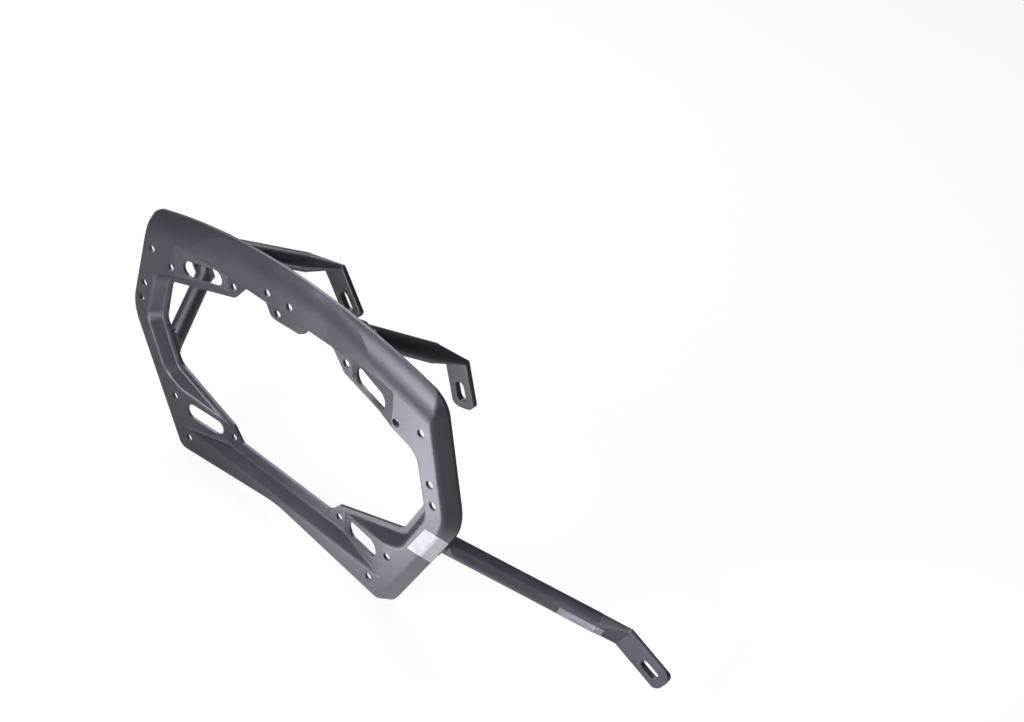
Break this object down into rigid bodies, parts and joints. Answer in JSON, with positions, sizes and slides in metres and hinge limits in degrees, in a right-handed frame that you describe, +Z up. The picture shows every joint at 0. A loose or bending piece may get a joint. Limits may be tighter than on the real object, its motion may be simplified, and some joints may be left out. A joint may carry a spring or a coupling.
{
  "type": "pannier frame",
  "caption": "Pressed steel side pannier frame: an open dished ring with slots and screw holes for a pannier, on welded tube stays whose flattened ends are slotted for screws.",
  "frame": {"origin": "centre of the rectangle of the four corner holes, on the outer face of the raised ends", "axes": "+X to the right as seen from outside, towards the long stay; +Y inwards, to the machine; +Z up"},
  "size_m": [0.6074, 0.1195, 0.2437],
  "materials": {
    "ring_coat": "satin powder coat, dark violet grey",
    "stay_coat": "satin powder coat, dark violet grey",
    "weld_coat": "satin powder coat over a weld"
  },
  "bodies": {
    "root": {"pressed_frame": "ring_coat", "long_lower_stay": "stay_coat", "short_lower_stay": "stay_coat", "left_upper_stay": "stay_coat", "right_upper_stay": "stay_coat", "long_lower_weld": "weld_coat", "short_lower_weld": "weld_coat", "left_upper_weld": "weld_coat", "right_upper_weld": "weld_coat"}
  },
  "joints": []
}
